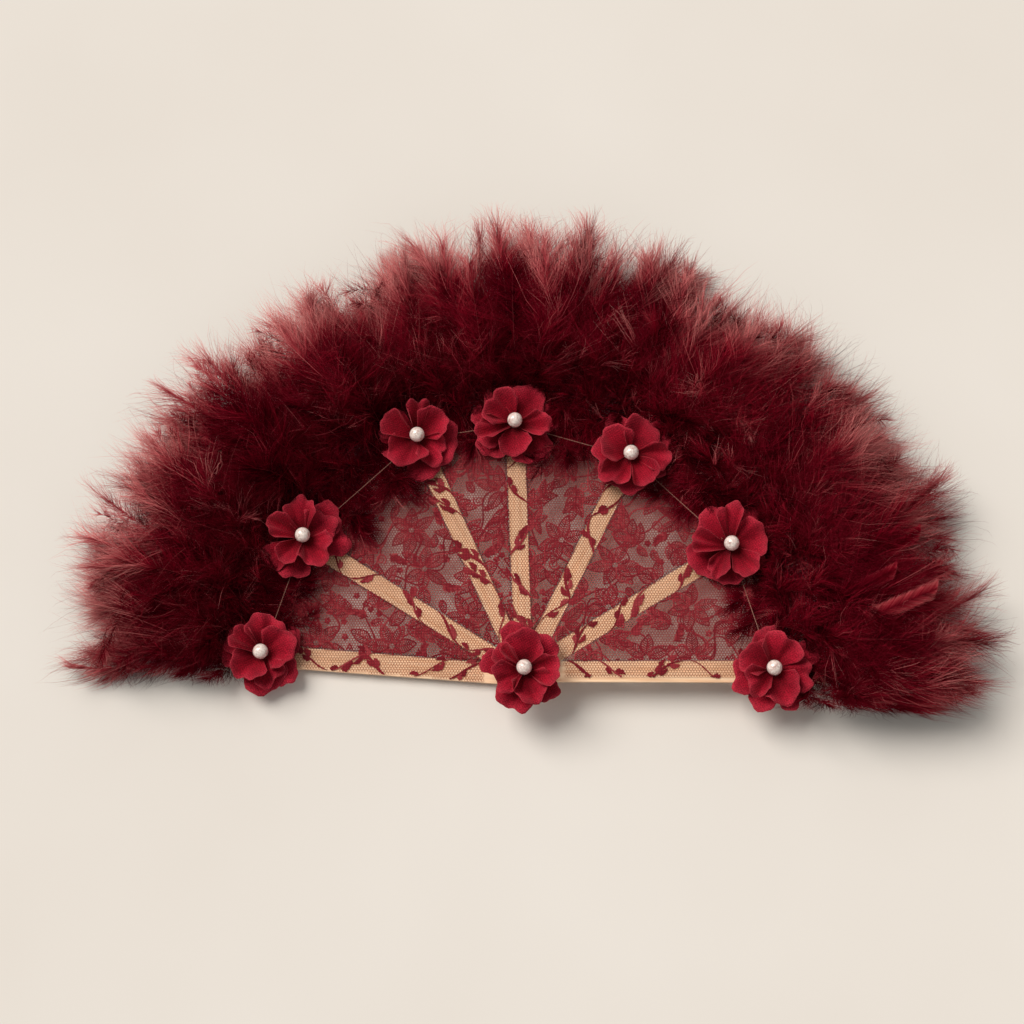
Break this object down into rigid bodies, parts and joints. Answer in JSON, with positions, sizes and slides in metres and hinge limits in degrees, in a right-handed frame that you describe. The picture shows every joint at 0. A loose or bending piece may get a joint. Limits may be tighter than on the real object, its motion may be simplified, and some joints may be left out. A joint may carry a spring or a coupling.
{
  "type": "folding feather fan",
  "caption": "Folding hand fan: a floral lace leaf over wooden sticks on a rivet, with a marabou feather border and fabric flowers with pearls; the sticks swing together to close it.",
  "frame": {"origin": "on the rivet's axis, at the flat back face of the rivet, which touches the table when the fan lies on its back", "axes": "+X from the rivet along the right guard, +Y up the middle of the open fan, +Z out of the fan's front"},
  "size_m": [0.4354, 0.2379, 0.031],
  "materials": {
    "wood": "satin",
    "rivet": "satin",
    "lace": "matte",
    "thread": "satin",
    "petal": "matte",
    "pearl": "gloss",
    "feather": "matte"
  },
  "bodies": {
    "guard_left": {"guard_left": "wood", "flower_1_lower_petals": "petal", "flower_1_upper_petals": "petal", "flower_1_pearl": "pearl", "plume_1": "feather", "pivot_rivet": "rivet", "pivot_washer_rear": "rivet", "pivot_washer_front": "rivet", "pivot_flower_lower_petals": "petal", "pivot_flower_upper_petals": "petal", "pivot_flower_pearl": "pearl"},
    "stick_2": {"stick_2": "wood", "flower_2_lower_petals": "petal", "flower_2_upper_petals": "petal", "flower_2_pearl": "pearl", "plume_2": "feather"},
    "stick_3": {"stick_3": "wood", "flower_3_lower_petals": "petal", "flower_3_upper_petals": "petal", "flower_3_pearl": "pearl", "plume_3": "feather"},
    "stick_4": {"stick_4": "wood", "flower_4_lower_petals": "petal", "flower_4_upper_petals": "petal", "flower_4_pearl": "pearl", "plume_4": "feather"},
    "stick_5": {"stick_5": "wood", "flower_5_lower_petals": "petal", "flower_5_upper_petals": "petal", "flower_5_pearl": "pearl", "plume_5": "feather"},
    "stick_6": {"stick_6": "wood", "flower_6_lower_petals": "petal", "flower_6_upper_petals": "petal", "flower_6_pearl": "pearl", "plume_6": "feather"},
    "guard_right": {"guard_right": "wood", "flower_7_lower_petals": "petal", "flower_7_upper_petals": "petal", "flower_7_pearl": "pearl", "plume_7": "feather"},
    "leaf_1": {"lace_panel_1": "lace", "stay_thread_1": "thread", "plume_gap_1": "feather"},
    "leaf_2": {"lace_panel_2": "lace", "stay_thread_2": "thread", "plume_gap_2": "feather"},
    "leaf_3": {"lace_panel_3": "lace", "stay_thread_3": "thread", "plume_gap_3": "feather"},
    "leaf_4": {"lace_panel_4": "lace", "stay_thread_4": "thread", "plume_gap_4": "feather"},
    "leaf_5": {"lace_panel_5": "lace", "stay_thread_5": "thread", "plume_gap_5": "feather"},
    "leaf_6": {"lace_panel_6": "lace", "stay_thread_6": "thread", "plume_gap_6": "feather"}
  },
  "joints": [
    {"name": "fold_1", "type": "hinge", "parent": "guard_left", "child": "stick_2", "pos_m": [0, 0, 0], "axis": [0, 0, 1], "range_deg": [0, 21.5], "deforming": ["flower_1_lower_petals", "flower_1_upper_petals", "plume_1", "lace_panel_1", "stay_thread_1", "plume_gap_1"]},
    {"name": "fold_2", "type": "hinge", "parent": "stick_2", "child": "stick_3", "pos_m": [0, 0, 0], "axis": [0, 0, 1], "range_deg": [0, 28], "deforming": ["flower_2_lower_petals", "flower_2_upper_petals", "plume_2", "lace_panel_2", "stay_thread_2", "plume_gap_2"]},
    {"name": "fold_3", "type": "hinge", "parent": "stick_3", "child": "stick_4", "pos_m": [0, 0, 0], "axis": [0, 0, 1], "range_deg": [0, 16], "deforming": ["flower_3_lower_petals", "flower_3_upper_petals", "plume_3", "lace_panel_3", "stay_thread_3", "plume_gap_3"]},
    {"name": "fold_4", "type": "hinge", "parent": "stick_4", "child": "stick_5", "pos_m": [0, 0, 0], "axis": [0, 0, 1], "range_deg": [0, 22], "deforming": ["flower_4_lower_petals", "flower_4_upper_petals", "plume_4", "lace_panel_4", "stay_thread_4", "plume_gap_4"]},
    {"name": "fold_5", "type": "hinge", "parent": "stick_5", "child": "stick_6", "pos_m": [0, 0, 0], "axis": [0, 0, 1], "range_deg": [0, 26.5], "deforming": ["flower_5_lower_petals", "flower_5_upper_petals", "plume_5", "lace_panel_5", "stay_thread_5", "plume_gap_5"]},
    {"name": "fold_6", "type": "hinge", "parent": "stick_6", "child": "guard_right", "pos_m": [0, 0, 0], "axis": [0, 0, 1], "range_deg": [0, 25.5], "deforming": ["flower_6_lower_petals", "flower_6_upper_petals", "plume_6", "lace_panel_6", "stay_thread_6", "plume_gap_6", "flower_7_lower_petals", "flower_7_upper_petals", "plume_7"]},
    {"name": "leaf_turn_1", "type": "hinge", "parent": "guard_left", "child": "leaf_1", "pos_m": [0, 0, 0], "axis": [0, 0, 1], "range_deg": [0, 10.75]},
    {"name": "leaf_turn_2", "type": "hinge", "parent": "stick_2", "child": "leaf_2", "pos_m": [0, 0, 0], "axis": [0, 0, 1], "range_deg": [0, 14]},
    {"name": "leaf_turn_3", "type": "hinge", "parent": "stick_3", "child": "leaf_3", "pos_m": [0, 0, 0], "axis": [0, 0, 1], "range_deg": [0, 8]},
    {"name": "leaf_turn_4", "type": "hinge", "parent": "stick_4", "child": "leaf_4", "pos_m": [0, 0, 0], "axis": [0, 0, 1], "range_deg": [0, 11]},
    {"name": "leaf_turn_5", "type": "hinge", "parent": "stick_5", "child": "leaf_5", "pos_m": [0, 0, 0], "axis": [0, 0, 1], "range_deg": [0, 13.25]},
    {"name": "leaf_turn_6", "type": "hinge", "parent": "stick_6", "child": "leaf_6", "pos_m": [0, 0, 0], "axis": [0, 0, 1], "range_deg": [0, 12.75]}
  ],
  "couplings": [
    {"joint": "fold_2", "follows": "fold_1", "ratio": 1.3023},
    {"joint": "fold_3", "follows": "fold_1", "ratio": 0.7441},
    {"joint": "fold_4", "follows": "fold_1", "ratio": 1.0232},
    {"joint": "fold_5", "follows": "fold_1", "ratio": 1.2325},
    {"joint": "fold_6", "follows": "fold_1", "ratio": 1.186},
    {"joint": "leaf_turn_1", "follows": "fold_1", "ratio": 0.5},
    {"joint": "leaf_turn_2", "follows": "fold_1", "ratio": 0.6511},
    {"joint": "leaf_turn_3", "follows": "fold_1", "ratio": 0.372},
    {"joint": "leaf_turn_4", "follows": "fold_1", "ratio": 0.5116},
    {"joint": "leaf_turn_5", "follows": "fold_1", "ratio": 0.6162},
    {"joint": "leaf_turn_6", "follows": "fold_1", "ratio": 0.593}
  ]
}
